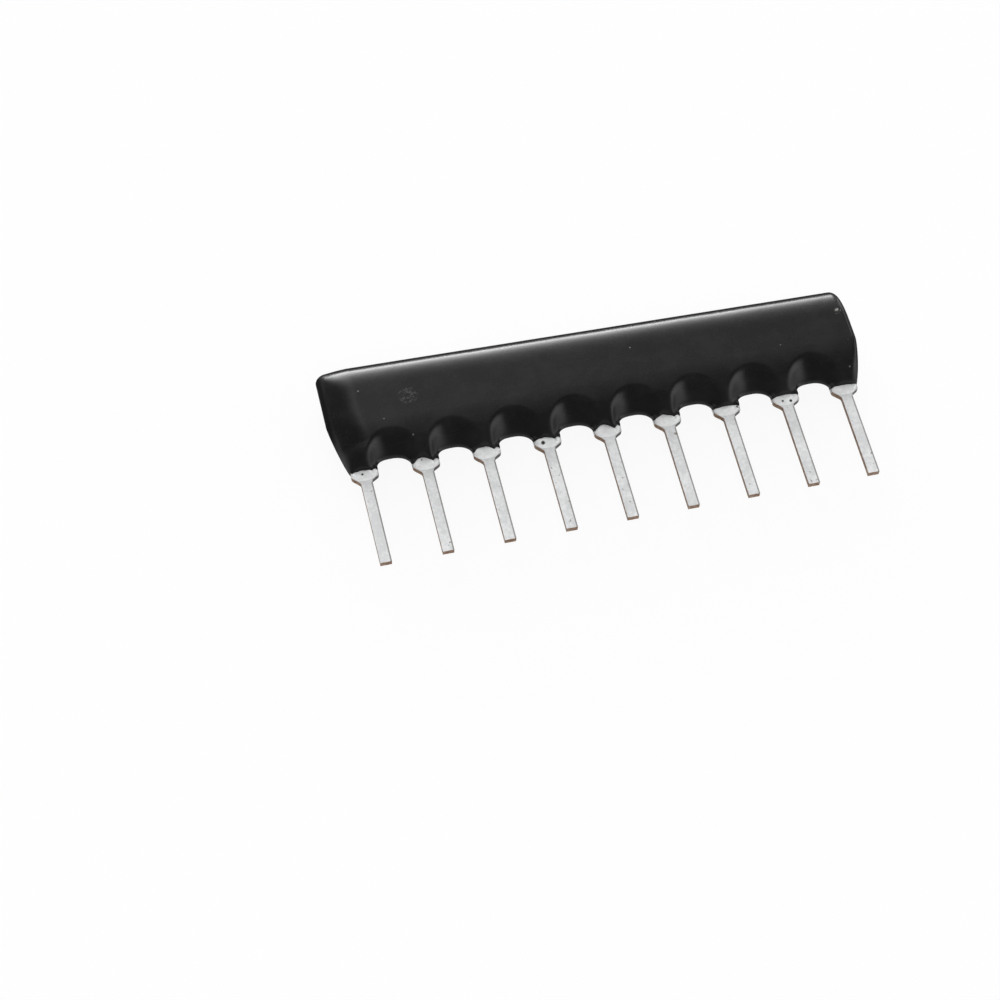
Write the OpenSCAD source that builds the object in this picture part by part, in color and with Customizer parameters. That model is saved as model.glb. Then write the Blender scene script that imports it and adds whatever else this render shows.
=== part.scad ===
// Single-in-line resistor network: a printed ceramic strip, held in a row of clip leads and dipped in epoxy.
// It lies on its back. X runs along the lead row, +Y towards the top edge of the body, +Z out of its marked face.
// Heights along the body are measured from the neck, where the straight part of a lead meets its shoulder.

/* [Lead row] */
// Number of leads in the row
lead_count = 9; // [4:1:14]
// Distance between neighbouring leads
pitch = 2.54; // [2.3:0.01:4]
// Width of a lead below its shoulder
lead_w = 0.47; // [0.4:0.01:0.6]
// Thickness of the strip that the leads are stamped from
lead_t = 0.25; // [0.2:0.01:0.3]
// Length of a lead from its neck to its tip
lead_len = 3.7; // [2.5:0.05:8]
// Height of the flare from a lead's width to its shoulder's width
flare_h = 0.5; // [0.4:0.01:0.5]

/* [Clips] */
// Width of the shoulder, across its two rear prongs
shoulder_w = 1.12; // [1.05:0.01:1.25]
// Height above the neck where the prongs start to bend
bend_y = 0.96; // [0.94:0.01:1]
// Inside radius of the prongs' bends
bend_r = 0.1; // [0.08:0.01:0.12]
// Angle of the prongs' bends, in degrees
bend_angle = 60; // [50:1:65]
// Width of the front prong
front_prong_w = 0.38; // [0.3:0.01:0.42]
// Slit between the front prong and the rear prongs
prong_gap = 0.06; // [0.04:0.01:0.1]
// Length of the front prong above its bends
front_prong_len = 1.15; // [1.1:0.01:1.16]
// Length of the rear prongs above their bends
rear_prong_len = 1.1; // [0.8:0.01:1.3]

/* [Ceramic] */
// Height of the ceramic strip
ceramic_h = 3.35; // [3.2:0.05:4]
// Thickness of the ceramic strip
ceramic_t = 0.635; // [0.5:0.005:0.8]
// Length of the ceramic strip past the end leads' axes
ceramic_overhang = 0.65; // [0.65:0.01:0.8]
// How far the ceramic strip sits askew in its clips, in degrees
ceramic_lean = 1; // [0:0.1:1.5]
// Free gap between the ceramic strip and the seat of the nearest clip
seat_gap = 0.01; // [0.01:0.01:0.05]

/* [Printed films] */
// Thickness of each printed layer
film_t = 0.015; // [0.01:0.001:0.02]
// Width of a solder pad
pad_w = 1.3; // [1.2:0.01:1.5]
// Height of a solder pad
pad_h = 1.35; // [1.33:0.01:1.45]
// Bare margin between the prints and the ceramic's long edges
print_margin = 0.12; // [0.1:0.01:0.15]
// Height of the common bus along the top
bus_h = 0.4; // [0.35:0.01:0.5]
// Width of the track from the first pad to the bus
riser_w = 0.8; // [0.5:0.01:1.1]
// Width of a resistor
resistor_w = 1.1; // [0.8:0.01:1.2]
// How far a resistor lies over its pad and over the bus
overlap = 0.18; // [0.15:0.01:0.2]
// Width of the laser's trim cut
kerf_w = 0.05; // [0.04:0.01:0.08]
// Thickness of the glaze over the resistors
glaze_t = 0.02; // [0.015:0.001:0.03]

/* [Solder] */
// Thickness of the solder over the front prong and the shoulder
solder_t = 0.07; // [0.05:0.01:0.09]
// Width of the fillet on the pad
fillet_w = 0.96; // [0.8:0.01:1.1]
// How far the solder stands out beyond the shoulder's sides
solder_side = 0.04; // [0.03:0.01:0.06]
// How far the solder on the shoulder reaches under the coat
sleeve_lap = 0.06; // [0.04:0.01:0.08]

/* [Coating] */
// Cover over the prongs, front and back
coat_cover = 0.47; // [0.4:0.01:0.6]
// Cover over the ceramic's top edge
top_cover = 0.36; // [0.3:0.01:0.6]
// Cover over the ceramic's ends
end_cover = 0.44; // [0.38:0.01:0.6]
// Height above the neck where the coat ends at a shoulder's sides
coat_low_y = 0.62; // [0.58:0.01:0.66]
// How far the coat's edge arches up over the solder in the middle of a shoulder
coat_arch = 0.12; // [0.05:0.01:0.15]
// Rise of the coat's edge between two shoulders
scallop_h = 0.5; // [0.3:0.01:0.52]
// Height above the neck where the faces become flat
flat_y = 2.4; // [2.2:0.05:2.5]
// Half thickness that the taper over a lead would reach at the coat's end, without its rounding there
ridge_half = 0.6; // [0.55:0.01:0.65]
// Half thickness of the coat where it ends on a shoulder
lobe_end = 0.24; // [0.23:0.01:0.28]
// Depth of the rounding above that end
lobe_r = 0.5; // [0.4:0.01:0.55]
// Width of the flank beside a scallop, where the hollow above it rises to the ridges
hollow_side = 0.44; // [0.3:0.01:0.5]
// Height above the neck where the hollow above a scallop runs out
hollow_y = 2; // [1.8:0.05:2.1]
// Depth of the rounding along the top edge
top_r = 0.9; // [0.7:0.01:1]
// Depth of the rounding at the left end
left_end_r = 1.25; // [1:0.01:1.4]
// Depth of the rounding at the right end
right_end_r = 0.45; // [0.4:0.01:0.7]
// Radius of the top corners, seen from the front
corner_r = 0.6; // [0.4:0.01:0.8]
// Rise of the lower corners from the end shoulders to the ends
heel_rise = 1.3; // [1:0.05:1.4]

/* [Hidden] */
$fn = 48;
row_half = (lead_count - 1) * pitch / 2;
lean_slope = tan(ceramic_lean);

// Levels above the bench: ceramic on its rear prongs, prints, front prongs, face of the body, lead strip
ceramic_z = coat_cover + lead_t;
film_z = ceramic_z + ceramic_t;
prong_z = film_z + film_t;
body_t = prong_z + lead_t + coat_cover;
mid_z = body_t / 2;
strip_mid_z = ceramic_z + ceramic_t / 2;
strip_z = strip_mid_z - lead_t / 2;

// How far the prongs are bent out of the strip's plane
front_offset = prong_z + lead_t / 2 - strip_mid_z;
rear_offset = strip_mid_z - (ceramic_z - lead_t / 2);
bend_mid_r = bend_r + lead_t / 2;
bend_rise = bend_mid_r * sin(bend_angle);
bend_throw = bend_mid_r * (1 - cos(bend_angle));
function bend_run(offset) = (offset - 2 * bend_throw) / sin(bend_angle);
function bend_len(offset) = 2 * bend_rise + bend_run(offset) * cos(bend_angle);

// Heights above the neck: the clips' seat, the ceramic's edges at the middle of the row, the coat's top there
seat_y = bend_y + bend_len(front_offset);
ceramic_y = seat_y + seat_gap + (row_half + front_prong_w / 2) * lean_slope;
coat_top_y = ceramic_y + ceramic_h + top_cover;

// Prints, measured on the ceramic from the middle of its lower edge
pad_top = print_margin + pad_h;
bus_top = ceramic_h - print_margin;
bus_low = bus_top - bus_h;
resistor_low = pad_top - overlap;
resistor_top = bus_low + overlap;
glaze_margin = 0.05;

// Outline of the coat
shoulder_half = shoulder_w / 2;
coat_half = row_half + ceramic_overhang + end_cover;
scallop_half = pitch / 2 - shoulder_half;
round_power = 2.2;
heel_power = 1.6;
hollow_power = 1.7;
thin_share = 0.08;
edge_r = 0.05;
end_blunt = 0.03;

// Facets of a shoulder's flare, of a prong's bend, and of the dipped surfaces: along a scallop's half,
// a shoulder's half and an end, and up the taper and the round top
flare_steps = 8;
bend_steps = 4;
scallop_steps = 5;
shoulder_steps = 3;
end_steps = 7;
taper_steps = 8;
top_steps = 5;

function lead_x(i) = (i - (lead_count + 1) / 2) * pitch;

// The ceramic's lower edge at x, and how far x lies from the nearest lead's axis
function ceramic_low(x) = ceramic_y - x * lean_slope;
function nearest_lead(x) = min(lead_count, max(1, round(x / pitch + (lead_count + 1) / 2)));
function off_lead(x) = abs(x - lead_x(nearest_lead(x)));

// Eases from 0 to 1 with level ends
function ease(s) = s <= 0 ? 0 : s >= 1 ? 1 : s * s * (3 - 2 * s);

// Lower edge of the coat: an arch on a shoulder, half an ellipse between two shoulders, a rising heel at each end
function shoulder_edge(dx) = coat_low_y + coat_arch * max(0, 1 - pow(dx / shoulder_half, 2));
function scallop_rise(dx) = scallop_h * sqrt(max(0, 1 - pow((pitch / 2 - dx) / scallop_half, 2)));
function heel(s) = heel_rise * (1 - pow(max(0, 1 - pow(s, heel_power)), 1 / heel_power));
function coat_low(x) =
    abs(x) > row_half + shoulder_half
        ? coat_low_y + heel((abs(x) - row_half - shoulder_half) / (coat_half - row_half - shoulder_half))
        : shoulder_edge(off_lead(x)) + (off_lead(x) > shoulder_half ? scallop_rise(off_lead(x)) : 0);

// Top edge of the coat: it leans with the ceramic, and its corners are round
function corner_drop(v) = v >= corner_r ? 0 : corner_r - sqrt(corner_r * corner_r - pow(corner_r - v, 2));
function coat_top(x) = coat_top_y - x * lean_slope - corner_drop(coat_half - abs(x));

// Rises from 0 to 1 along a blunt quarter round
function quarter_round(s) = pow(1 - pow(1 - s, round_power), 1 / round_power);

// Share of the full thickness that is left towards the ends: the left one is round, the right one blunter
function end_share(x) =
    let (r = x < 0 ? left_end_r : right_end_r, v = coat_half - abs(x))
    v >= r ? 1 : quarter_round((v + end_blunt) / (r + end_blunt));

// Half thickness over a lead at height y: the ridge thins from the flat face and rounds off on the shoulder
function ridge(x, y) =
    body_t / 2 - (body_t / 2 - ridge_half) * pow((flat_y - y) / (flat_y - coat_low_y), 2)
    - (ridge_half - lobe_end) * pow(max(0, 1 - (y - shoulder_edge(off_lead(x))) / lobe_r), 2);

// Share of the ridge's thickness in the hollow above a scallop: thin at the scallop's edge, all of it at the rim
function hollow_share(x, y) =
    let (
        aside = pitch / 2 - off_lead(x),
        up = y - coat_low_y,
        reach = norm([aside, up]),
        edge = reach / norm([aside / scallop_half, up / scallop_h]),
        rim = reach / norm([aside / (scallop_half + hollow_side), up / (hollow_y - coat_low_y)]),
        s = min(1, max(0, (reach - edge) / (rim - edge)))
    )
    abs(x) >= row_half ? 1 : thin_share + (1 - thin_share) * (1 - pow(1 - s, hollow_power));

// Half of one section, as [y, half thickness] from the lower edge to the top: edge, taper, flat, round top
function half_section(x) =
    let (low = coat_low(x), top = coat_top(x), taper_y = low + edge_r)
    concat(
        [[low, 0]],
        [for (k = [0:taper_steps])
            let (y = taper_y + (flat_y - taper_y) * k / taper_steps)
            [y, ridge(x, y) * hollow_share(x, y)]],
        [for (k = [0:top_steps])
            let (a = 90 * k / top_steps)
            [top - top_r + top_r * pow(sin(a), 2 / round_power), body_t / 2 * pow(cos(a), 2 / round_power)]]
    );

// The closed section: up the face and down the back
function section(x) =
    let (half = half_section(x), n = len(half), share = end_share(x))
    concat(
        [for (k = [0:n - 1]) [x, half[k][0], mid_z + half[k][1] * share]],
        [for (k = [n - 2:-1:1]) [x, half[k][0], mid_z - half[k][1] * share]]
    );

// Stations from one lead's axis to halfway to the next, and from an end lead's axis to the body's end
function inner_stations() = concat(
    [for (k = [0:shoulder_steps]) shoulder_half * sin(90 * k / shoulder_steps)],
    [for (k = [1:scallop_steps]) pitch / 2 - scallop_half * cos(90 * k / scallop_steps)]
);
function outer_stations() = concat(
    [for (k = [1:shoulder_steps]) shoulder_half * sin(90 * k / shoulder_steps)],
    [for (k = [1:end_steps])
        shoulder_half + (coat_half - row_half - shoulder_half) * sin(90 * k / end_steps)]
);
function mirrored(list) = [for (k = [len(list) - 1:-1:0]) -list[k]];
function coat_stations() =
    let (inner = inner_stations(), n = len(inner), outer = outer_stations())
    concat(
        [for (s = mirrored(outer)) s - row_half],
        [for (i = [1:lead_count - 1])
            each concat(
                [for (k = [0:n - 1]) lead_x(i) + inner[k]],
                [for (k = [n - 2:-1:1]) lead_x(i + 1) - inner[k]]
            )],
        [row_half],
        [for (s = outer) row_half + s]
    );
coat_sections = [for (x = coat_stations()) section(x)];

// The part's origin is under the middle of its outline
highest_y = max([for (s = coat_sections) for (p = s) p[1]]);
origin_y = (highest_y - lead_len) / 2;

// Skin over a row of closed sections that all have the same number of points
module skin(sections) {
    n = len(sections[0]);
    last = len(sections) - 1;
    sides = [for (i = [0:last - 1], j = [0:n - 1])
        let (a = i * n + j, b = i * n + (j + 1) % n)
        each [[a, b, b + n], [a, b + n, a + n]]];
    caps = [[for (j = [n - 1:-1:0]) j], [for (j = [0:n - 1]) last * n + j]];
    polyhedron([for (s = sections) each s], concat(sides, caps));
}

// Places a profile drawn as (height above the neck, level above the bench) across the row, centred on x
module across(x, width) {
    translate([x - width / 2, 0, 0])
        rotate([90, 0, 90])
            linear_extrude(width)
                children();
}

// Places a print on the ceramic's face, drawn from the middle of its lower edge
module on_ceramic() {
    translate([0, ceramic_y, film_z])
        rotate(-ceramic_lean)
            children();
}

module print_block(u, v, width, height, level, thickness) {
    translate([u - width / 2, v, level])
        cube([width, height, thickness]);
}

// Flat blank of a lead: a straight strip that flares out to the shoulder
module lead_blank() {
    flare = [for (k = [0:flare_steps])
        [lead_w / 2 + (shoulder_half - lead_w / 2) * ease(k / flare_steps), flare_h * k / flare_steps]];
    side = concat([[lead_w / 2, -lead_len]], flare, [[shoulder_half, bend_y]]);
    polygon(concat(side, [for (k = [len(side) - 1:-1:0]) [-side[k][0], side[k][1]]]));
}

// Middle line of a prong from the strip's middle, as [height, level, heading]: out by an offset, then straight on
function prong_path(offset, length) = concat(
    [[-lead_t / 2, 0, 0]],
    [for (k = [0:bend_steps])
        let (a = bend_angle * k / bend_steps)
        [bend_mid_r * sin(a), bend_mid_r * (1 - cos(a)), a]],
    [for (k = [bend_steps:-1:0])
        let (a = bend_angle * k / bend_steps)
        [bend_len(offset) - bend_mid_r * sin(a), offset - bend_mid_r * (1 - cos(a)), a]],
    [[bend_len(offset) + length, offset, 0]]
);

// Side view of a prong: the strip's thickness laid on both sides of its middle line
module prong_profile(offset, length) {
    path = prong_path(offset, length);
    last = len(path) - 1;
    half = lead_t / 2;
    polygon(concat(
        [for (p = path) [p[0] - half * sin(p[2]), p[1] + half * cos(p[2])]],
        [for (k = [last:-1:0]) [path[k][0] + half * sin(path[k][2]), path[k][1] - half * cos(path[k][2])]]
    ));
}

// A stamped lead: one prong in front of the ceramic, one on each side of it behind
module lead(i) {
    rear_prong_w = shoulder_half - front_prong_w / 2 - prong_gap;
    color("silver") {
        translate([lead_x(i), 0, strip_z])
            linear_extrude(lead_t)
                lead_blank();
        across(lead_x(i), front_prong_w)
            translate([bend_y, strip_mid_z])
                prong_profile(front_offset, front_prong_len);
        for (side = [-1, 1])
            across(lead_x(i) + side * (shoulder_half - rear_prong_w / 2), rear_prong_w)
                translate([bend_y, strip_mid_z])
                    mirror([0, 1])
                        prong_profile(rear_offset, rear_prong_len);
    }
}

module ceramic_substrate() {
    length = 2 * (row_half + ceramic_overhang);
    color("whitesmoke")
        on_ceramic()
            print_block(0, 0, length, ceramic_h, -ceramic_t, ceramic_t);
}

module pad_print(i) {
    print_block(lead_x(i), print_margin, pad_w, pad_h, 0, film_t);
}

module pad(i) {
    color("lightgray")
        on_ceramic()
            pad_print(i);
}

// The first pad, its riser and the bus along the top are one print
module common_bus() {
    color("lightgray")
        on_ceramic() {
            pad_print(1);
            print_block(lead_x(1), pad_top, riser_w, bus_low - pad_top, 0, film_t);
            print_block(0, bus_low, 2 * row_half + pad_w, bus_h, 0, film_t);
        }
}

// Trim cut of a resistor: it starts in the glaze on the right and goes as deep as that resistor needed
module trim_cut(i) {
    run_in = glaze_margin / 2;
    depth = run_in + resistor_w * (0.36 + 0.12 * sin(137 * i));
    height = resistor_low + (resistor_top - resistor_low) * (0.5 + 0.08 * cos(137 * i));
    right = lead_x(i + 1) + resistor_w / 2 + run_in;
    print_block(right - depth / 2, height, depth, kerf_w, 0, 2 * film_t + glaze_t);
}

// Resistor film: flat on the ceramic, with both ends lapped over the pad and the bus
module resistor_film(i) {
    x = lead_x(i + 1);
    print_block(x, pad_top, resistor_w, bus_low - pad_top, 0, 2 * film_t);
    print_block(x, resistor_low, resistor_w, resistor_top - resistor_low, film_t, film_t);
}

module resistor(i) {
    color("dimgray")
        on_ceramic()
            difference() {
                resistor_film(i);
                trim_cut(i);
            }
}

// Glaze: one glass print over all the resistors, cut through with them where they were trimmed
module overglaze() {
    low = resistor_low - glaze_margin;
    width = 2 * row_half - pitch + resistor_w + 2 * glaze_margin;
    color("steelblue")
        on_ceramic()
            difference() {
                print_block(pitch / 2, low, width, bus_top - low, 0, 2 * film_t + glaze_t);
                print_block(0, bus_low, 2 * row_half + pad_w, bus_h, 0, film_t);
                for (i = [2:lead_count])
                    pad_print(i);
                for (i = [1:lead_count - 1]) {
                    resistor_film(i);
                    trim_cut(i);
                }
            }
}

// Solder round the shoulder: a thin lumpy sleeve that ends under the coat
function lump(i, s) = 1 + 0.35 * sin(97 * i + 300 * s) + 0.25 * cos(211 * i - 520 * s);
function sleeve_section(i, s) =
    let (
        x = lead_x(i) + (shoulder_half + solder_side) * s,
        swell = solder_t * (0.45 + 0.55 * lump(i, s) * (1 - s * s)),
        low = flare_h * (0.45 + 0.75 * pow(abs(s), 3)),
        top = shoulder_edge((shoulder_half + solder_side) * s) + sleeve_lap,
        front = strip_z + lead_t + swell,
        back = strip_z - swell / 2
    )
    [
        [x, low - swell / 2, strip_mid_z],
        [x, low, front - swell / 2],
        [x, low + (top - low) * 0.3, front],
        [x, low + (top - low) * 0.8, front],
        [x, top, front - swell / 2],
        [x, top, back + swell / 4],
        [x, low + (top - low) * 0.5, back],
        [x, low, back + swell / 4]
    ];

module solder_sleeve(i) {
    skin([for (s = [-1:0.25:1]) sleeve_section(i, s)]);
}

// Fillet on the pad: it runs up both sides of the front prong and over it
module pad_fillet(i) {
    low = ceramic_low(lead_x(i)) + print_margin + 0.05;
    top = seat_y + front_prong_len + solder_t;
    crest = front_prong_w + 2 * solder_t;
    translate([lead_x(i), top, prong_z])
        rotate([90, 0, 0])
            linear_extrude(top - low)
                polygon([
                    [-fillet_w / 2, 0], [fillet_w / 2, 0],
                    [crest / 2, lead_t + solder_t], [-crest / 2, lead_t + solder_t]
                ]);
}

module solder(i) {
    color("gainsboro")
        difference() {
            union() {
                solder_sleeve(i);
                pad_fillet(i);
            }
            lead(i);
        }
}

// The dipped epoxy fills everything between the pieces that it holds
module coating() {
    color([0.07, 0.07, 0.08])
        difference() {
            skin(coat_sections);
            ceramic_substrate();
            common_bus();
            overglaze();
            for (i = [2:lead_count])
                pad(i);
            for (i = [1:lead_count - 1])
                resistor(i);
            for (i = [1:lead_count]) {
                lead(i);
                solder(i);
            }
        }
}

translate([0, -origin_y, 0]) {
    coating();
    ceramic_substrate();
    common_bus();
    overglaze();
    for (i = [2:lead_count])
        pad(i);
    for (i = [1:lead_count - 1])
        resistor(i);
    for (i = [1:lead_count]) {
        lead(i);
        solder(i);
    }
}
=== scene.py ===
import math
import random

import bmesh
import bpy
from mathutils import Matrix, Vector, noise


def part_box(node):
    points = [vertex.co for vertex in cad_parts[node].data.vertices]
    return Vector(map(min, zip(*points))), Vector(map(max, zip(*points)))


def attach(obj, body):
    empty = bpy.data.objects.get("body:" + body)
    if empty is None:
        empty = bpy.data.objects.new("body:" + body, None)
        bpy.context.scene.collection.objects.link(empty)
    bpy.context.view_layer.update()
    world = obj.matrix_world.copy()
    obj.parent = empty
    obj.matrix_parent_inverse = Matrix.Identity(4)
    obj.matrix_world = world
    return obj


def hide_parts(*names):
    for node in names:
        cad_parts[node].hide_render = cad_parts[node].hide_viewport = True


# Frame
# A single-in-line resistor network of the dipped kind, lying on its back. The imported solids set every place.
# X runs along the lead row, +Y towards the top edge of the body, +Z out of its face.
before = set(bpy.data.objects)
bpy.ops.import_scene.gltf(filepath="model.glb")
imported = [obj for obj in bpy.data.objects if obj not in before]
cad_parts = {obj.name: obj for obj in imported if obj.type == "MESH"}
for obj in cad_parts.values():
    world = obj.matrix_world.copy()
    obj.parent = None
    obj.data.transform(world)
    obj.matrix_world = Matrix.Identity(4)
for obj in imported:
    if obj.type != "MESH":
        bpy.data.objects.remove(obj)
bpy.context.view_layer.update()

# Ceramic strip
# A fired alumina strip, snapped off a larger plate along laser-scored lines.
# It carries the prints on its face, and the clips at the heads of the leads grip its lower edge.
MM = 0.001


class Shade:
    """One socket of a material's nodes, so that shader maths reads as plain expressions."""

    def __init__(self, tree, socket):
        self.tree = tree
        self.socket = socket

    def give(self, socket, value):
        """Links a shade to a socket, or sets a constant on it."""
        if isinstance(value, Shade):
            self.tree.links.new(value.socket, socket)
        else:
            socket.default_value = value

    def node(self, kind, settings, values, output=0):
        """Adds a node: its settings come first, then the values or links of its sockets."""
        made = self.tree.nodes.new(kind)
        for name, value in settings.items():
            setattr(made, name, value)
        for name, value in values.items():
            self.give(made.inputs[name], value)
        return Shade(self.tree, made.outputs[output])

    def math(self, operation, first, second):
        """Adds a Math node."""
        return self.node("ShaderNodeMath", {"operation": operation}, {0: first, 1: second})

    def __add__(self, other):
        return self.math("ADD", self, other)

    def __sub__(self, other):
        return self.math("SUBTRACT", self, other)

    def __rsub__(self, other):
        return self.math("SUBTRACT", other, self)

    def __mul__(self, other):
        return self.math("MULTIPLY", self, other)

    __radd__ = __add__
    __rmul__ = __mul__


def finish(name):
    """A new material, its shader, and the place on the piece in millimetres."""
    material = bpy.data.materials.new(name)
    material.use_nodes = True
    tree = material.node_tree
    place = Shade(tree, tree.nodes.new("ShaderNodeTexCoord").outputs["Object"])
    in_mm = place.node("ShaderNodeVectorMath", {"operation": "SCALE"}, {0: place, "Scale": 1 / MM})
    return material, tree.nodes["Principled BSDF"], in_mm


def paint(shader, place, values):
    """Sets or links several sockets of a shader."""
    for name, value in values.items():
        place.give(shader.inputs[name], value)


def grain(place, scale, detail=2.0, rough=0.5):
    """Cloudy noise from 0 to 1, with about that many clouds to a millimetre."""
    values = {"Vector": place, "Scale": scale, "Detail": detail, "Roughness": rough}
    return place.node("ShaderNodeTexNoise", {}, values)


def ramp(value, low, high):
    """Rises smoothly from 0 at low to 1 at high."""
    limits = {"Value": value, "From Min": low, "From Max": high}
    return value.node("ShaderNodeMapRange", {"interpolation_type": "SMOOTHSTEP"}, limits)


def tint(share, plain, full):
    """A colour between two, by a share from 0 to 1."""
    return share.node("ShaderNodeMix", {"data_type": "RGBA"}, {0: share, 6: plain, 7: full}, output=2)


def bump(height, depth_mm):
    """Normals of a surface whose relief is that deep."""
    values = {"Height": height, "Distance": depth_mm * MM, "Strength": 1.0}
    return height.node("ShaderNodeBump", {}, values)


def dress(material, *names):
    """Gives CAD nodes that stay in view a finish."""
    for name in names:
        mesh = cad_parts[name].data
        mesh.materials.clear()
        mesh.materials.append(material)


alumina, shader, place = finish("fired alumina")
crystals = grain(place, 9.0, 4.0)
paint(shader, place, {
    "Base Color": tint(ramp(crystals, 0.35, 0.7), (0.80, 0.79, 0.75, 1), (0.88, 0.87, 0.84, 1)),
    "Roughness": 0.55 + 0.2 * crystals,
    "Normal": bump(crystals, 0.006),
})
dress(alumina, "ceramic_substrate")

# Printed tracks
# Silver-palladium ink, squeezed through a screen and fired: the first pad runs up into a bus along the top,
# and every other lead has a pad of its own. The screen's mesh still shows as a fine relief.
LEADS = 9
SCREEN_WIRES = 12.0
silver_print, shader, place = finish("silver print")
screen = {"Vector": place, "Scale": SCREEN_WIRES / 3}
mesh_marks = place.node("ShaderNodeTexWave", {"bands_direction": "X"}, screen)
tarnish = grain(place, 3.0, 3.0)
paint(shader, place, {
    "Base Color": tint(ramp(tarnish, 0.4, 0.75), (0.66, 0.64, 0.60, 1), (0.48, 0.45, 0.41, 1)),
    "Metallic": 1.0,
    "Roughness": 0.38 + 0.2 * tarnish,
    "Normal": bump(mesh_marks, 0.002),
})
dress(silver_print, "common_bus", *[f"pad_{i}" for i in range(2, LEADS + 1)])

# Resistors
# Ruthenium-oxide ink on the face of the ceramic, one block from the bus down to each pad.
# Fired to a dark, slightly glassy film, then cut by a laser until the value is right.
resistor_print, shader, place = finish("resistor print")
speckle = grain(place, 14.0, 3.0)
paint(shader, place, {
    "Base Color": tint(ramp(speckle, 0.45, 0.7), (0.030, 0.029, 0.028, 1), (0.075, 0.070, 0.066, 1)),
    "Roughness": 0.32 + 0.25 * speckle,
    "Normal": bump(speckle, 0.002),
})
dress(resistor_print, *[f"resistor_{i}" for i in range(1, LEADS)])

# Glaze
# A thin coloured glass printed over all the resistors and fired, which seals them from damp.
# It is smooth, with small bubbles and a little milkiness.
glaze, shader, place = finish("glass glaze")
bubbles = grain(place, 7.0, 2.0)
paint(shader, place, {
    "Base Color": tint(ramp(bubbles, 0.5, 0.8), (0.025, 0.105, 0.115, 1), (0.09, 0.20, 0.20, 1)),
    "Roughness": 0.10 + 0.12 * bubbles,
    "Coat Weight": 0.6,
    "Normal": bump(bubbles, 0.003),
})
dress(glaze, "overglaze")

# Leads
# Copper-plated steel strip, tinned and then stamped: the faces keep the pale satin tin, and the sheared
# sides and tips show bare brownish metal; the sheared sides that face right are painted near black as shade,
# and a painted shade darkens the right edge of each face. The punch drew up the flare below each
# shoulder unevenly.
# Above its shoulder each lead splits into the prongs that grip the ceramic.
ROLLED_EDGE = 0.055
ROLLED_STEPS = 3
SHARP = math.radians(50)
SAME_POINT = 0.001
LEAD_LENGTH = 3.7
LEAD_HALF = 0.235
BLANK_FLARE = 0.5
FLARE_SLACK = 0.01
LEFT_FLARE = (0.02, 0.45)
RIGHT_FLARE = (0.12, 0.40)


def box_mm(name):
    """Lowest and highest corner of a CAD node, in millimetres."""
    low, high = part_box(name)
    return low / MM, high / MM


def axis_of(vector, axis):
    """One part of a vector."""
    return vector.node("ShaderNodeSeparateXYZ", {}, {0: vector}, output=axis)


lead_boxes = [box_mm(f"lead_{i}") for i in range(1, LEADS + 1)]
lead_axes = [(low.x + high.x) / 2 for low, high in lead_boxes]
neck_y = lead_boxes[0][0].y + LEAD_LENGTH
pitch = lead_axes[1] - lead_axes[0]
tinned_strip, shader, place = finish("tinned strip")
facing = place.node("ShaderNodeNewGeometry", {}, {}, output="Normal")
upright = axis_of(facing, "Z")
sheared = 1 - ramp(upright.math("ABSOLUTE", upright, 0), 0.55, 0.96)
clouds = grain(place, 1.3, 4.0, 0.6)
fine = grain(place, 7.0, 3.0)
pits = ramp(grain(place, 5.5, 1.0), 0.72, 0.78)
spangle = ramp(clouds * 0.6 + fine * 0.4, 0.38, 0.64)
tin = tint(spangle, (0.60, 0.605, 0.61, 1), (0.75, 0.755, 0.76, 1))
pitted = tint(pits * 0.8, tin, (0.16, 0.14, 0.12, 1))
rust = tint(ramp(fine, 0.35, 0.7), (0.20, 0.105, 0.055, 1), (0.34, 0.24, 0.17, 1))
# Sheared faces that turn to the right are painted near black as shade; the others show brown bare metal.
bare_metal_and_side_shade = tint(ramp(axis_of(facing, "X"), 0.1, 0.4), rust, (0.075, 0.070, 0.066, 1))
row_x = axis_of(place, "X")
# A painted shade darkens the right edge of each lead's face, below its neck.
across = row_x.node("ShaderNodeMath", {"operation": "WRAP"}, {0: row_x, 1: pitch / 2, 2: -pitch / 2})
below_neck = 1 - ramp(axis_of(place, "Y"), neck_y, neck_y + RIGHT_FLARE[0])
right_edge_shade = ramp(across, LEAD_HALF - 0.075, LEAD_HALF - 0.035) * below_neck
tin_with_edge_shade = tint(right_edge_shade * 0.85, pitted, (0.13, 0.125, 0.11, 1))
paint(shader, place, {
    "Base Color": tint(sheared, tin_with_edge_shade, bare_metal_and_side_shade),
    "Metallic": 0.15,
    "Roughness": 0.44 + 0.12 * clouds + 0.1 * sheared,
    "Normal": bump(clouds * 0.4 + fine * 0.4 - pits * 0.5, 0.006),
})


def stamped(y, flare):
    """Height of a point of the blank once its shoulder is stamped: the flare is drawn up short."""
    above = y / MM - neck_y
    if not -FLARE_SLACK < above < BLANK_FLARE + FLARE_SLACK:
        return y
    low, high = flare
    return (neck_y + low + (high - low) * above / BLANK_FLARE) * MM


for i in range(1, LEADS + 1):
    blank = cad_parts[f"lead_{i}"].data.copy()
    for vertex in blank.vertices:
        at_left = vertex.co.x < lead_axes[i - 1] * MM
        vertex.co.y = stamped(vertex.co.y, LEFT_FLARE if at_left else RIGHT_FLARE)
    blank.materials.clear()
    blank.materials.append(tinned_strip)
    lead = bpy.data.objects.new(f"stamped_lead_{i}", blank)
    bpy.context.scene.collection.objects.link(lead)
    weld = lead.modifiers.new("joined faces", "WELD")
    weld.merge_threshold = SAME_POINT * MM
    rolled = lead.modifiers.new("rolled edges", "BEVEL")
    rolled.width = ROLLED_EDGE * MM
    rolled.segments = ROLLED_STEPS
    rolled.limit_method = "ANGLE"
    rolled.angle_limit = SHARP
    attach(lead, "root")
    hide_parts(f"lead_{i}")

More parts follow.
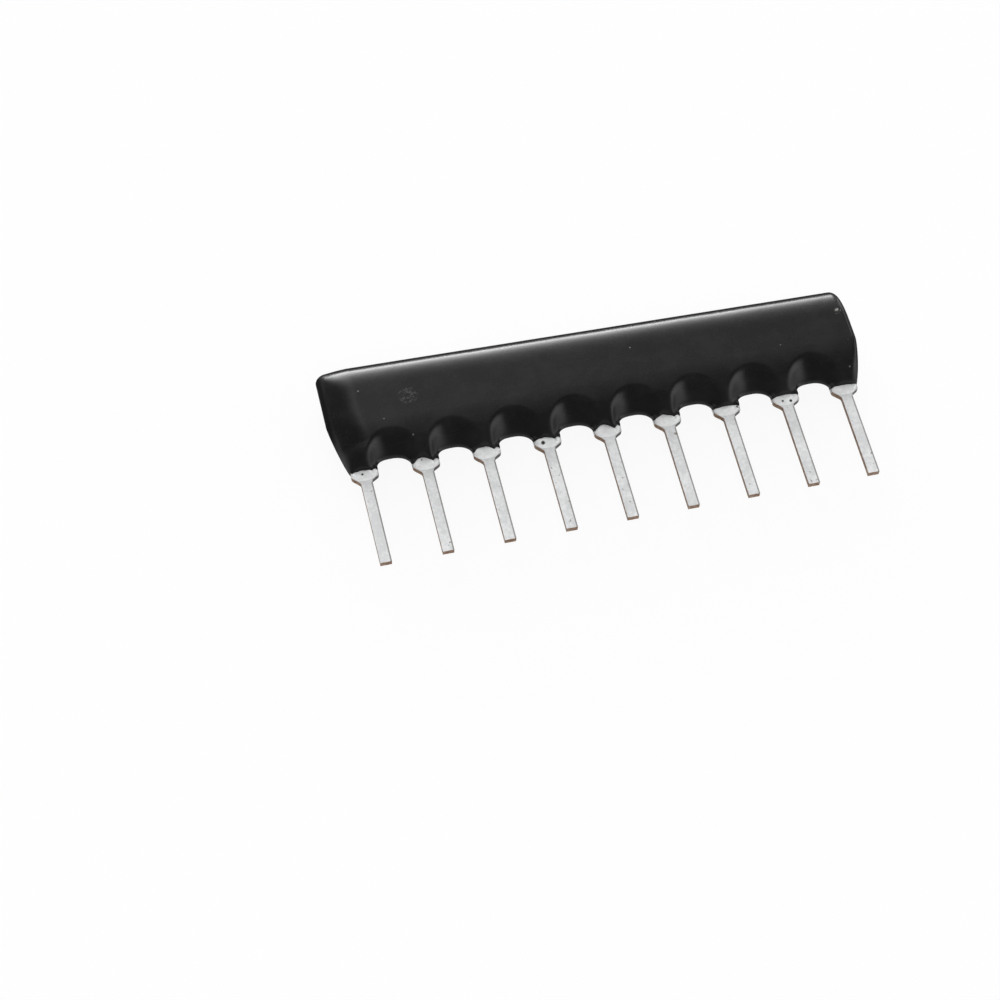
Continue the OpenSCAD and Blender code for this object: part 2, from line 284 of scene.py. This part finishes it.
# Solder
# Each clip was dipped in solder before the coat went on. It froze as a thin lumpy sleeve round the shoulder,
# with a few gas holes, and as a fillet that holds the front prong to its pad.
STRIP = 0.25
SHOULDER_HALF = 0.56
COAT_LOW = 0.54
SLEEVE_LOW = 0.15
LEFT_RISE = 0.33
RIGHT_RISE = 0.27
SLEEVE_SIDE = 0.02
SLEEVE_LAP = 0.06
SLEEVE_THICK = 0.024
SLEEVE_ACROSS = 64
SLEEVE_UP = 36
SLEEVE_GROWN = 0.6
SLEEVE_TALL = 0.5
SLEEVE_ENDS = (0.04, 0.15)
SIDE_POWER = 10
LUMPS = 5
LUMP_SEED = 40
LUMP_ACROSS = (-0.8, 0.8)
LUMP_UP = (0.5, 1.0)
LUMP_HEIGHT = (0.010, 0.030)
LUMP_SIZE = (0.2, 0.4)
LUMP_STRETCH = 0.8
SMOOTH_LEADS = (7, 8, 9)
SMOOTH_LUMPS = 0.3
ARCHES = (0.12, 0.20, 0.22, 0.12, 0.22, 0.20, 0.07, 0.12, 0.08)
DOME_AT = -0.2
DOME_HALF = 0.7
WING_AT = 0.8
WING_HALF = 0.22
WING_RISE = 0.07
SMOOTH_EDGE = 0.02
RAGGED_EDGE = 0.05
GROOVE_AT = 0.55
GROOVE_HALF = 0.09
GROOVE_DEPTH = 0.03
GROOVE_FROM = 0.35
GROOVE_FADE = 0.3
HOLE_DEPTH = 0.7
GAS_HOLES = {
    1: [(-0.18, 0.58, 0.05)],
    2: [(-0.26, 0.75, 0.035)],
    4: [(-0.36, 0.50, 0.085)],
    7: [(0.80, 0.62, 0.06)],
    8: [(-0.28, 0.42, 0.05), (0.30, 0.30, 0.065)],
}
FILLET_HALF = 0.48
CREST_HALF = 0.26
FILLET_HEIGHT = 0.32
FILLET_MARGIN = 0.05
FILLET_HOLLOW = 1.5
FILLET_END = 0.1
FILLET_STEPS = 16
SEAM = 1e-5


def ease(s):
    """From 0 to 1 with level ends."""
    s = min(1.0, max(0.0, s))
    return s * s * (3 - 2 * s)


def round_off(s):
    """Quarter of a circle from 0 at s = 0 to 1 at s = 1, and level from there."""
    return 1.0 if s >= 1 else math.sqrt(max(0.0, 1 - (1 - s) ** 2))


def loft(name, *skins):
    """A smooth piece of closed skins, each over rings in millimetres that have as many points.

    The first and last ring of a skin are flat lines, so that they close it.
    """
    points = []
    faces = []
    for rings in skins:
        first = len(points)
        count = len(rings[0])
        points += [Vector(p) * MM for ring in rings for p in ring]
        for i in range(len(rings) - 1):
            for j in range(count):
                a = first + i * count + j
                b = first + i * count + (j + 1) % count
                faces.append((a, b, b + count, a + count))
    mesh = bpy.data.meshes.new(name)
    mesh.from_pydata(points, [], faces)
    clean = bmesh.new()
    clean.from_mesh(mesh)
    bmesh.ops.remove_doubles(clean, verts=clean.verts, dist=SEAM * MM)
    bmesh.ops.dissolve_degenerate(clean, edges=clean.edges, dist=SEAM * MM)
    bmesh.ops.recalc_face_normals(clean, faces=clean.faces)
    clean.to_mesh(mesh)
    clean.free()
    mesh.shade_smooth()
    piece = bpy.data.objects.new(name, mesh)
    bpy.context.scene.collection.objects.link(piece)
    return piece


ceramic_low, ceramic_high = box_mm("ceramic_substrate")
strip_z = (ceramic_low.z + ceramic_high.z) / 2


def away_from(place, spot):
    """Distance from a spot, seen from above, in millimetres."""
    level = place.node("ShaderNodeVectorMath", {"operation": "MULTIPLY"}, {0: place, 1: (1, 1, 0)})
    ends = {0: level, 1: (spot[0], spot[1], 0)}
    return place.node("ShaderNodeVectorMath", {"operation": "DISTANCE"}, ends, output="Value")


def solder_top(i, u):
    """Height of the coat's edge on a shoulder, from its left side at u = -1 to its right at 1."""
    arch = ARCHES[i - 1]
    wander = noise.noise((2.5 * u, 0.7 * i, 2.0))
    if i in SMOOTH_LEADS:
        return COAT_LOW + arch * (1 - u * u) + SMOOTH_EDGE * wander
    dome = arch * max(0.0, 1 - ((u - DOME_AT) / DOME_HALF) ** 2)
    wing = WING_RISE * max(0.0, 1 - ((u - WING_AT) / WING_HALF) ** 2)
    return COAT_LOW + dome + wing + RAGGED_EDGE * wander


def on_sleeve(i, u, v):
    """Place on a sleeve: u runs from its left side at -1 to its right at 1, v from low edge to top."""
    low = SLEEVE_LOW + (LEFT_RISE * abs(u) ** 3 if u < 0 else RIGHT_RISE * u ** 2)
    top = solder_top(i, u) + SLEEVE_LAP
    return lead_axes[i - 1] + u * (SHOULDER_HALF + SLEEVE_SIDE), neck_y + low + (top - low) * v


def sleeve(i):
    """The solder on one shoulder: it grows out of the strip, thickens upwards and ends under the coat."""
    chance = random.Random(LUMP_SEED + i)
    lumpy = SMOOTH_LUMPS if i in SMOOTH_LEADS else 1.0
    lumps = []
    for _ in range(LUMPS):
        at_u = chance.uniform(*LUMP_ACROSS)
        at_v = chance.uniform(*LUMP_UP)
        height = chance.uniform(*LUMP_HEIGHT) * lumpy
        lumps.append((at_u, at_v, height, chance.uniform(*LUMP_SIZE)))

    def swell(u, v):
        """Thickness of the solder: lumps, a groove beside the right wing, and the gas holes."""
        thick = SLEEVE_THICK
        for at_u, at_v, height, size in lumps:
            thick += height * math.exp(-((u - at_u) ** 2 + (LUMP_STRETCH * (v - at_v)) ** 2) / size ** 2)
        groove = math.exp(-((u - GROOVE_AT) / GROOVE_HALF) ** 2) * ease((v - GROOVE_FROM) / GROOVE_FADE)
        thick -= GROOVE_DEPTH * lumpy * groove
        thick *= ease(v / SLEEVE_GROWN)
        for at_u, at_v, radius in GAS_HOLES.get(i, []):
            away = math.hypot((u - at_u) * SHOULDER_HALF, (v - at_v) * SLEEVE_TALL)
            thick *= 1 - HOLE_DEPTH * math.exp(-(away / radius) ** 4)
        return thick

    low_end, top_end = SLEEVE_ENDS
    rings = []
    for k in range(SLEEVE_ACROSS + 1):
        u = math.sin(math.pi * (k / SLEEVE_ACROSS - 0.5))
        side = (1 - abs(u) ** SIDE_POWER) ** 0.5
        front = []
        back = []
        for j in range(SLEEVE_UP + 1):
            v = j / SLEEVE_UP
            x, y = on_sleeve(i, u, v)
            close = round_off(v / low_end) * round_off((1 - v) / top_end) * side
            thick = swell(u, v)
            front.append((x, y, strip_z + (STRIP / 2 + thick) * close))
            back.append((x, y, strip_z - (STRIP / 2 + thick / 2) * close))
        rings.append(front + back[-2:0:-1])
    return rings


def pad_fillet(i):
    """The solder that holds the front prong of a clip to its pad: hollow flanks and a level crest."""
    pad_low, pad_high = box_mm("common_bus" if i == 1 else f"pad_{i}")
    low = pad_low.y + FILLET_MARGIN
    top = box_mm(f"solder_{i}")[1].y
    rings = []
    for k in range(FILLET_STEPS + 1):
        u = 2 * k / FILLET_STEPS - 1
        flank = min(1.0, (1 - abs(u)) / (1 - CREST_HALF / FILLET_HALF))
        x = lead_axes[i - 1] + u * FILLET_HALF
        front = []
        back = []
        for j in range(FILLET_STEPS + 1):
            v = j / FILLET_STEPS
            y = low + (top - low) * v
            ends = round_off(v / FILLET_END) * round_off((1 - v) / FILLET_END)
            lift = FILLET_HEIGHT * flank ** FILLET_HOLLOW * ends
            front.append((x, y, pad_high.z + lift))
            back.append((x, y, pad_high.z))
        rings.append(front + back[-2:0:-1])
    return rings


solder_metal, shader, place = finish("solder")
clouds = grain(place, 2.2, 4.0, 0.6)
fine = grain(place, 9.0, 3.0)
spangle = ramp(clouds * 0.6 + fine * 0.4, 0.38, 0.64)
bright = tint(spangle, (0.82, 0.825, 0.83, 1), (0.95, 0.955, 0.96, 1))
# Each gas hole is painted near black, as the shade in its hollow.
for i, holes in GAS_HOLES.items():
    for u, v, radius in holes:
        away = away_from(place, on_sleeve(i, u, v))
        bright = tint(1 - ramp(away, 0.7 * radius, 1.2 * radius), bright, (0.03, 0.028, 0.026, 1))
paint(shader, place, {
    "Base Color": bright,
    "Metallic": 0.15,
    "Roughness": 0.44 + 0.12 * clouds,
    "Normal": bump(fine, 0.010),
})
for i in range(1, LEADS + 1):
    piece = loft(f"solder_joint_{i}", sleeve(i), pad_fillet(i))
    piece.data.materials.append(solder_metal)
    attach(piece, "root")
    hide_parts(f"solder_{i}")

# Epoxy coat
# Black epoxy powder, dipped over the hot assembly and cured to a semi-gloss skin that fills every gap.
# Over each clip it hangs as a rounded lobe, and between two clips it drew up into a scallop.
SCALLOP = 0.51
SCALLOP_POWERS = (3.4, 2.0)
FLAT_FROM = 2.4
RIDGE_HALF = 0.60
HOLLOW_SIDE = 0.54
HOLLOW_TOP = 2.0
HOLLOW_RIM = 0.4
SIDE_COVER = 0.12
BACK_COVER = 0.02
BACK_DRAW = 2.0
EDGE_SHARE = 0.16
EDGE_ROUND = 0.08
LOBE_END = 0.24
LOBE_ROUND = 0.75
TOP_ROUND = 1.5
TOP_POWER = 2.2
LEFT_ROUND = (1.4, 1.6)
RIGHT_ROUND = (0.35, 2.2)
LOW_ROUND = 0.35
LEFT_CORNER = (0.4, 0.4)
RIGHT_CORNER = (0.5, 1.1)
LEFT_HEEL = 2.5
RIGHT_HEEL = 1.9
HEEL_POWER = 1.2
LEAN = math.tan(math.radians(1.0))
TAPER_LEAST = 0.3
FACE_LEAST = 0.05
SWAY = 0.010
EDGE_POINTS = 6
TAPER_POINTS = 40
FACE_POINTS = 8
TOP_POINTS = 24
SHOULDER_STEPS = 9
SCALLOP_STEPS = 13
END_STEPS = 22
QUARTER = math.pi / 2
coat_high_corner = box_mm("coating")[1]
coat_half = coat_high_corner.x
coat_mid = coat_high_corner.z / 2
row_half = lead_axes[-1]
scallop_half = pitch / 2 - SHOULDER_HALF
end_reach = coat_half - row_half - SHOULDER_HALF


def nearest_lead(x):
    """Number of the lead that is nearest, from 1 at the left."""
    return min(LEADS, max(1, round(x / pitch + (LEADS + 1) / 2)))


def off_lead(x):
    """Distance from the nearest lead's axis."""
    return abs(x - lead_axes[nearest_lead(x) - 1])


def lobe_low(x):
    """Height where the coat ends on the nearest shoulder, or would end beside it."""
    i = nearest_lead(x)
    return solder_top(i, max(-1.0, min(1.0, (x - lead_axes[i - 1]) / SHOULDER_HALF)))


def coat_low(x):
    """Height of the lower edge: level on a shoulder, an arch between two, a rising heel at the ends."""
    if abs(x) > row_half + SHOULDER_HALF:
        s = (abs(x) - row_half - SHOULDER_HALF) / end_reach
        heel = LEFT_HEEL if x < 0 else RIGHT_HEEL
        return COAT_LOW + heel * (1 - max(0.0, 1 - s ** HEEL_POWER) ** (1 / HEEL_POWER))
    away = off_lead(x)
    if away <= SHOULDER_HALF:
        return lobe_low(x)
    power = SCALLOP_POWERS[0 if x > lead_axes[nearest_lead(x) - 1] else 1]
    off_middle = abs(pitch / 2 - away) / scallop_half
    return COAT_LOW + SCALLOP * max(0.0, 1 - off_middle ** power) ** (1 / power)


def corner_drop(x):
    """How far the top edge falls off at its round corners."""
    across, down = LEFT_CORNER if x < 0 else RIGHT_CORNER
    return down * (1 - round_off((coat_half - abs(x)) / across))


def end_at(x, y):
    """How far the end on that side reaches at a height: it draws in along its heel."""
    heel = LEFT_HEEL if x < 0 else RIGHT_HEEL
    below = max(0.0, 1 - max(0.0, y - COAT_LOW) / heel)
    return row_half + SHOULDER_HALF + end_reach * (1 - below ** HEEL_POWER) ** (1 / HEEL_POWER)


def end_share(x, y):
    """Share of the thickness that is left near the ends: the left one is round, the right one blunt."""
    reach, power = LEFT_ROUND if x < 0 else RIGHT_ROUND
    reach = min(reach, LOW_ROUND + max(0.0, y - COAT_LOW))
    v = max(0.0, end_at(x, y) - abs(x)) / reach
    return 1.0 if v >= 1 else (1 - (1 - v) ** power) ** (1 / power)


def ridge_half(x, y):
    """Half thickness over a lead: it thins down from the flat face and then rounds off on the shoulder."""
    half = coat_mid - (coat_mid - RIDGE_HALF) * (max(0.0, FLAT_FROM - y) / (FLAT_FROM - COAT_LOW)) ** 2
    return half - (RIDGE_HALF - LOBE_END) * max(0.0, 1 - (y - lobe_low(x)) / LOBE_ROUND) ** 2


def hollow_share(x, y):
    """Share of the thickness in the hollow above a scallop: thin at its edge, all of it at the rim."""
    if abs(x) >= row_half:
        return 1.0
    across = pitch / 2 - off_lead(x)
    up = y - COAT_LOW
    reach = math.hypot(across, up)
    inner_reach = reach / math.hypot(across / scallop_half, up / SCALLOP)
    outer_reach = reach / math.hypot(across / (scallop_half + HOLLOW_SIDE), up / (HOLLOW_TOP - COAT_LOW))
    t = min(1.0, max(0.0, (reach - inner_reach) / (outer_reach - inner_reach)))
    steep = 1 / (1 - HOLLOW_RIM / 2)
    rise = steep * t if t < 1 - HOLLOW_RIM else 1 - steep * (1 - t) ** 2 / (2 * HOLLOW_RIM)
    return EDGE_SHARE + (1 - EDGE_SHARE) * rise


def lower_half(x, y, draw, beside):
    """Half thickness of the tapered part: a ridge over each lead, a hollow between two, and a round edge.

    The hollow is drawn in by a power, and the coat hides the shoulders' sides and so much beside them.
    """
    cover = LOBE_END * round_off(max(0.0, SHOULDER_HALF + beside - off_lead(x)) / (2 * SIDE_COVER))
    half = max(ridge_half(x, y) * hollow_share(x, y) ** draw, cover)
    on_heel = abs(x) > row_half + SHOULDER_HALF
    return half if on_heel else half * round_off(max(0.0, y - coat_low(x)) / EDGE_ROUND)


coat_top_middle = coat_high_corner.y - neck_y - LEAN * (coat_half - LEFT_CORNER[0])


def coat_ring(x):
    """One section of the coat, up its face and down its back."""
    low = coat_low(x)
    top = coat_top_middle - LEAN * x - corner_drop(x)
    flat_from = max(FLAT_FROM, low + TAPER_LEAST)
    top_round = min(TOP_ROUND, top - flat_from - FACE_LEAST)
    flat_to = top - top_round
    taper_from = low + EDGE_ROUND
    heights = [low + EDGE_ROUND * (1 - math.cos(QUARTER * k / EDGE_POINTS)) for k in range(EDGE_POINTS)]
    heights += [taper_from + (flat_from - taper_from) * k / TAPER_POINTS for k in range(TAPER_POINTS)]
    halves = [(lower_half(x, y, 1, SIDE_COVER), lower_half(x, y, BACK_DRAW, BACK_COVER)) for y in heights]
    for k in range(FACE_POINTS):
        heights.append(flat_from + (flat_to - flat_from) * k / FACE_POINTS)
        halves.append((coat_mid, coat_mid))
    for k in range(TOP_POINTS + 1):
        a = QUARTER * k / TOP_POINTS
        heights.append(flat_to + top_round * math.sin(a) ** (2 / TOP_POWER))
        rounded = coat_mid * max(0.0, math.cos(a)) ** (2 / TOP_POWER)
        halves.append((rounded, rounded))
    front = []
    back = []
    for y, (ahead, behind) in zip(heights, halves):
        share = end_share(x, y)
        sway = SWAY * (noise.noise((0.5 * x, 0.6 * y, 1.7)) - 1)
        front.append((x, neck_y + y, coat_mid + ahead * share * (1 + sway)))
        back.append((x, neck_y + y, coat_mid - behind * share))
    return front + back[-2:0:-1]


over_shoulder = [SHOULDER_HALF * math.sin(QUARTER * k / SHOULDER_STEPS) for k in range(SHOULDER_STEPS)]
to_scallop = [pitch / 2 - scallop_half * math.cos(QUARTER * k / SCALLOP_STEPS)
              for k in range(SCALLOP_STEPS + 1)]
to_end = [SHOULDER_HALF + end_reach * math.sin(QUARTER * k / END_STEPS) for k in range(END_STEPS + 1)]
inner = over_shoulder + to_scallop
outer = over_shoulder + to_end
stations = [-row_half - s for s in reversed(outer)]
for i in range(LEADS - 1):
    stations += [lead_axes[i] + s for s in inner[1:]]
    stations += [lead_axes[i + 1] - s for s in reversed(inner[:-1])]
stations += [row_half + s for s in outer[1:]]
coat = loft("epoxy_coat", [coat_ring(x) for x in stations])

DOT_AT = (-7.78, 2.34)
DOT_RADIUS = 0.44
SCUFF_AT = (10.74, 2.76)
SCUFF_RADIUS = 0.22
MATT_SHARE = 0.9
epoxy, shader, place = finish("black epoxy")
peel = grain(place, 2.4, 3.0)
haze = grain(place, 0.5, 4.0)
dust_cells = {"Vector": place, "Scale": 0.9, "Randomness": 1.0}
dust = 1 - ramp(place.node("ShaderNodeTexVoronoi", {}, dust_cells, output="Distance"), 0.02, 0.045)
level = axis_of(place, "Z")
speckle = ramp(grain(place, 6.0, 3.0, 0.7), 0.47, 0.62) * ramp(level, 1.6, 1.7)
dot = (1 - ramp(away_from(place, DOT_AT), 0.8 * DOT_RADIUS, DOT_RADIUS)) * speckle
scraped = ramp(grain(place, 5.0, 3.0, 0.7), 0.50, 0.66) * ramp(level, 1.1, 1.3)
scuff = (1 - ramp(away_from(place, SCUFF_AT), 0.2 * SCUFF_RADIUS, SCUFF_RADIUS)) * scraped
smudges = ramp(grain(place, 1.1, 5.0, 0.65), 0.4, 0.7)
smudged = tint(smudges, (0.0065, 0.0065, 0.0070, 1), (0.0110, 0.0110, 0.0115, 1))
black = tint(dot * 0.35, smudged, (0.10, 0.10, 0.10, 1))
dusty = tint(dust * 0.6, black, (0.22, 0.22, 0.21, 1))
drawn = 1 - ramp(axis_of(place, "Y"), neck_y + 1.0, neck_y + 1.7)
paint(shader, place, {
    "Base Color": tint(scuff, dusty, (0.40, 0.40, 0.38, 1)),
    "Roughness": 0.17 + 0.10 * haze + 0.2 * dust + 0.1 * dot + 0.14 * drawn,
    "Specular IOR Level": 0.25,
    "Normal": bump(peel, 0.004),
})
matt = place.node("ShaderNodeBsdfDiffuse", {}, {"Color": (0.006, 0.006, 0.0065, 1)})
edge_on = place.node("ShaderNodeLayerWeight", {}, {"Blend": 0.5}, output="Facing")
# The coat turns matt where it is seen edge on, and near both ends as painted shade that takes away its
# reflection.
row_x = axis_of(place, "X")
left_end_shade = 1 - ramp(row_x, 0.1 - coat_half, 0.4 - coat_half)
right_end_shade = ramp(row_x, coat_half - 0.40, coat_half - 0.15) * 0.7
grazing_and_end_shade = edge_on.math("MAXIMUM", ramp(edge_on, 0.48, 0.7), left_end_shade + right_end_shade)
tree = epoxy.node_tree
gloss = Shade(tree, shader.outputs["BSDF"])
skin = place.node("ShaderNodeMixShader", {}, {0: grazing_and_end_shade * MATT_SHARE, 1: gloss, 2: matt})
tree.links.new(skin.socket, tree.nodes["Material Output"].inputs["Surface"])
coat.data.materials.append(epoxy)
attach(coat, "root")
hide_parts("coating")

# Floor
# A plain pale sheet under the part, which keeps a faint shadow.
# Seen directly or in a reflection it is close to white.
FLOOR_HALF = 2.0
WHITE_SHARE = 0.92
floor_mesh = bpy.data.meshes.new("floor")
corners = [(-1, -1), (1, -1), (1, 1), (-1, 1)]
floor_mesh.from_pydata([(x * FLOOR_HALF, y * FLOOR_HALF, 0) for x, y in corners], [], [(0, 1, 2, 3)])
floor = bpy.data.objects.new("floor", floor_mesh)
bpy.context.scene.collection.objects.link(floor)
pale, shader, place = finish("pale floor")
paint(shader, place, {"Base Color": (0.85, 0.85, 0.85, 1), "Roughness": 0.9, "Specular IOR Level": 0.0})
tree = pale.node_tree
ray = tree.nodes.new("ShaderNodeLightPath")
seen = Shade(tree, ray.outputs["Is Camera Ray"]) + Shade(tree, ray.outputs["Is Glossy Ray"])
seen = seen + Shade(tree, ray.outputs["Is Transmission Ray"])
glow = place.node("ShaderNodeEmission", {}, {"Color": (1, 1, 1, 1), "Strength": 1.0})
lit = Shade(tree, shader.outputs["BSDF"])
shown = place.node("ShaderNodeMixShader", {}, {0: seen * WHITE_SHARE, 1: lit, 2: glow})
tree.links.new(shown.socket, tree.nodes["Material Output"].inputs["Surface"])
floor_mesh.materials.append(pale)

# Light
# A white glow stands on the horizon behind the part and fades upwards, as from a bright window.
# A soft box at the right behind it and a fill in front light the metal; the coat doesn't mirror the fill.
# A faint glow low at the right shows in the coat's hollows.
LIGHT_DISTANCE = 0.6
BEHIND = (-0.24, 0.896, 0.375)
LOW_RIGHT = (0.882, -0.356, 0.309)
ROOM_LEVEL = 0.22
BACK_LEVEL = 1.18
WINDOW_LEVEL = 20.0
LOW_LEVEL = 2.2


def soft_box(name, heading, elevation, width, height, radiance):
    """A rectangular lamp that faces the part from a heading right of +Y and an elevation, in degrees."""
    lamp = bpy.data.lights.new(name, "AREA")
    lamp.shape = "RECTANGLE"
    lamp.size = width
    lamp.size_y = height
    lamp.energy = radiance * math.pi * width * height
    stand = bpy.data.objects.new(name, lamp)
    turn = Matrix.Rotation(math.radians(-heading), 4, "Z")
    tilt = Matrix.Rotation(math.radians(elevation - 90), 4, "X")
    stand.matrix_world = turn @ tilt @ Matrix.Translation((0, 0, LIGHT_DISTANCE))
    stand.visible_camera = False
    bpy.context.scene.collection.objects.link(stand)
    return stand


soft_box("right_box", heading=44, elevation=24, width=0.255, height=0.39, radiance=3.0)
front_fill = soft_box("front_fill", heading=190, elevation=55, width=0.5, height=0.4, radiance=1.7)
front_fill.visible_glossy = False
world = bpy.data.worlds.new("studio")
world.use_nodes = True
tree = world.node_tree
way = Shade(tree, tree.nodes.new("ShaderNodeTexCoord").outputs["Generated"])


def towards(way, aim):
    """1 where a way runs along the aim, less the more it turns from it."""
    return way.node("ShaderNodeVectorMath", {"operation": "DOT_PRODUCT"}, {0: way, 1: aim}, output="Value")


sideways = axis_of(way, "X")
skywards = axis_of(way, "Z")
window = ramp(sideways, -0.6, -0.25) * (1 - ramp(sideways, 0.26, 0.36)) * ramp(axis_of(way, "Y"), 0.0, 0.3)
fading = skywards.math("POWER", 1 - skywards, 2.6 + 5.0 * sideways.math("MAXIMUM", sideways, 0.05))
back_glow = ramp(towards(way, BEHIND), 0.2, 1.0) * ramp(sideways, -0.5, -0.1) * (1 - 1.6 * sideways)
low_glow = ramp(towards(way, LOW_RIGHT), 0.84, 1.0)
room = ROOM_LEVEL + BACK_LEVEL * back_glow + WINDOW_LEVEL * window * fading + LOW_LEVEL * low_glow
room.give(tree.nodes["Background"].inputs["Strength"], room)
tree.nodes["Background"].inputs["Color"].default_value = (1, 1, 1, 1)
bpy.context.scene.world = world
bpy.context.scene.view_settings.view_transform = "Standard"

# Camera
# A long lens, high in front of the lead side and a little to the left, tipped slightly.
# It looks past the part's left half, so that the part sits right of the middle as in the picture.
HEADING = 16.65
ELEVATION = 58.94
ROLL = 4.03
REACH = 110.44
LOOK_AT = Vector((-4.84, -1.95, -0.26))
FOCAL_SHARE = 2.7
lens = bpy.data.cameras.new("camera")
lens.sensor_width = 36
lens.lens = lens.sensor_width * FOCAL_SHARE
lens.clip_start = MM
lens.clip_end = 10
camera = bpy.data.objects.new("camera", lens)
aim = Matrix.Rotation(math.radians(-HEADING), 4, "Z")
aim = aim @ Matrix.Rotation(math.radians(90 - ELEVATION), 4, "X")
aim = aim @ Matrix.Rotation(math.radians(ROLL), 4, "Z")
camera.matrix_world = Matrix.Translation(LOOK_AT * MM) @ aim @ Matrix.Translation((0, 0, REACH * MM))
bpy.context.scene.collection.objects.link(camera)
bpy.context.scene.camera = camera
